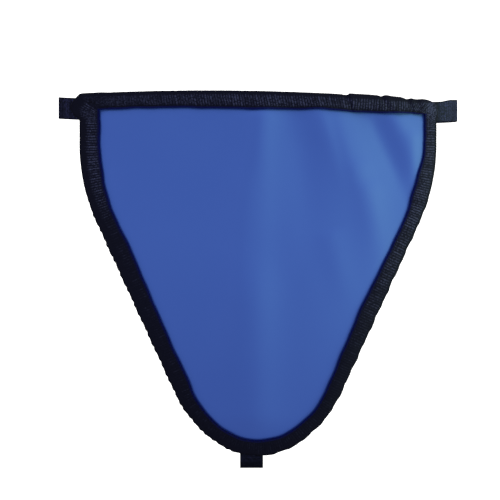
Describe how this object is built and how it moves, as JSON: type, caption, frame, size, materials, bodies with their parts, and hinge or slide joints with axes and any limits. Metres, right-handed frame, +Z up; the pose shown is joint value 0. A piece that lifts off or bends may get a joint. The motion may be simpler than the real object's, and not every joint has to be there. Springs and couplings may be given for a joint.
{
  "type": "gonad x-ray shield",
  "caption": "blue lead-rubber gonad x-ray shield, a triangle with a rounded tip, bound in ribbed black tape, on black waist and crotch straps",
  "frame": {"origin": "middle of the waist loop, at the height of the strap", "axes": "+X to the viewer's right seen from the front, +Y to the wearer's back, +Z up; the shield faces -Y"},
  "size_m": [0.3604, 0.2282, 0.3401],
  "materials": {
    "coated_cover": "smooth blue coated cloth over lead rubber",
    "ribbed_tape": "black woven tape with ribs across it",
    "webbing": "black woven strap"
  },
  "bodies": {
    "root": {"shield_panel": "coated_cover", "edge_binding": "ribbed_tape", "waist_strap": "webbing", "crotch_strap": "webbing"}
  },
  "joints": []
}
